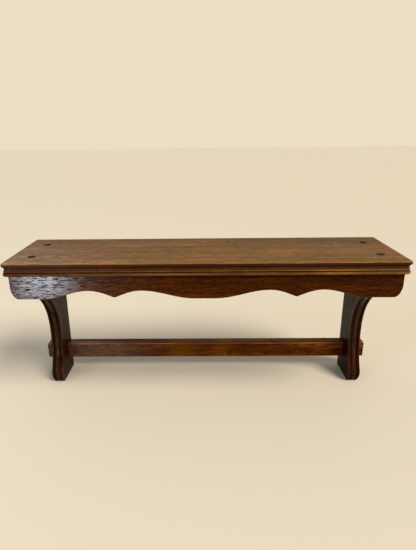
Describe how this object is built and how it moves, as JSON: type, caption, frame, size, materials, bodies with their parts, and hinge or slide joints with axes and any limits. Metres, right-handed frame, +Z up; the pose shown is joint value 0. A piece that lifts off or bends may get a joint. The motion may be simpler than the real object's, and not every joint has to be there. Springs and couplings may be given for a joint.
{
  "type": "wall plate rack",
  "caption": "Dark-stained wooden wall plate rack: a top board with a moulded edge on S-curved side brackets, with a scalloped apron and a lower rail.",
  "frame": {"origin": "middle of the footprint, on the surface that the rack stands on", "axes": "+X to the right along the board, +Y from the front to the wall, +Z up"},
  "size_m": [0.61, 0.16, 0.256],
  "materials": {
    "top_wood": "dark walnut stain under worn satin lacquer",
    "apron_wood": "dark walnut stain under satin lacquer, open pores",
    "bracket_wood": "dark walnut stain under satin lacquer",
    "rail_wood": "dark walnut stain under satin lacquer",
    "plug_wood": "nearly black face-grain plugs, sanded flush",
    "dowel_wood": "plain beech",
    "block_wood": "unfinished",
    "screw_steel": "zinc plated"
  },
  "bodies": {
    "root": {"top_board": "top_wood", "apron": "apron_wood", "left_bracket": "bracket_wood", "right_bracket": "bracket_wood", "lower_rail": "rail_wood", "hanging_rail": "rail_wood", "plug_front_left": "plug_wood", "plug_front_right": "plug_wood", "plug_rear_left": "plug_wood", "plug_rear_right": "plug_wood", "top_screw_front_left": "screw_steel", "top_screw_front_right": "screw_steel", "top_screw_rear_left": "screw_steel", "top_screw_rear_right": "screw_steel", "rail_screw_left": "screw_steel", "rail_screw_right": "screw_steel", "rail_dowel_upper_left": "dowel_wood", "rail_dowel_lower_left": "dowel_wood", "rail_dowel_upper_right": "dowel_wood", "rail_dowel_lower_right": "dowel_wood", "apron_dowel_left": "dowel_wood", "apron_dowel_right": "dowel_wood", "glue_block_left": "block_wood", "glue_block_centre": "block_wood", "glue_block_right": "block_wood"}
  },
  "joints": []
}
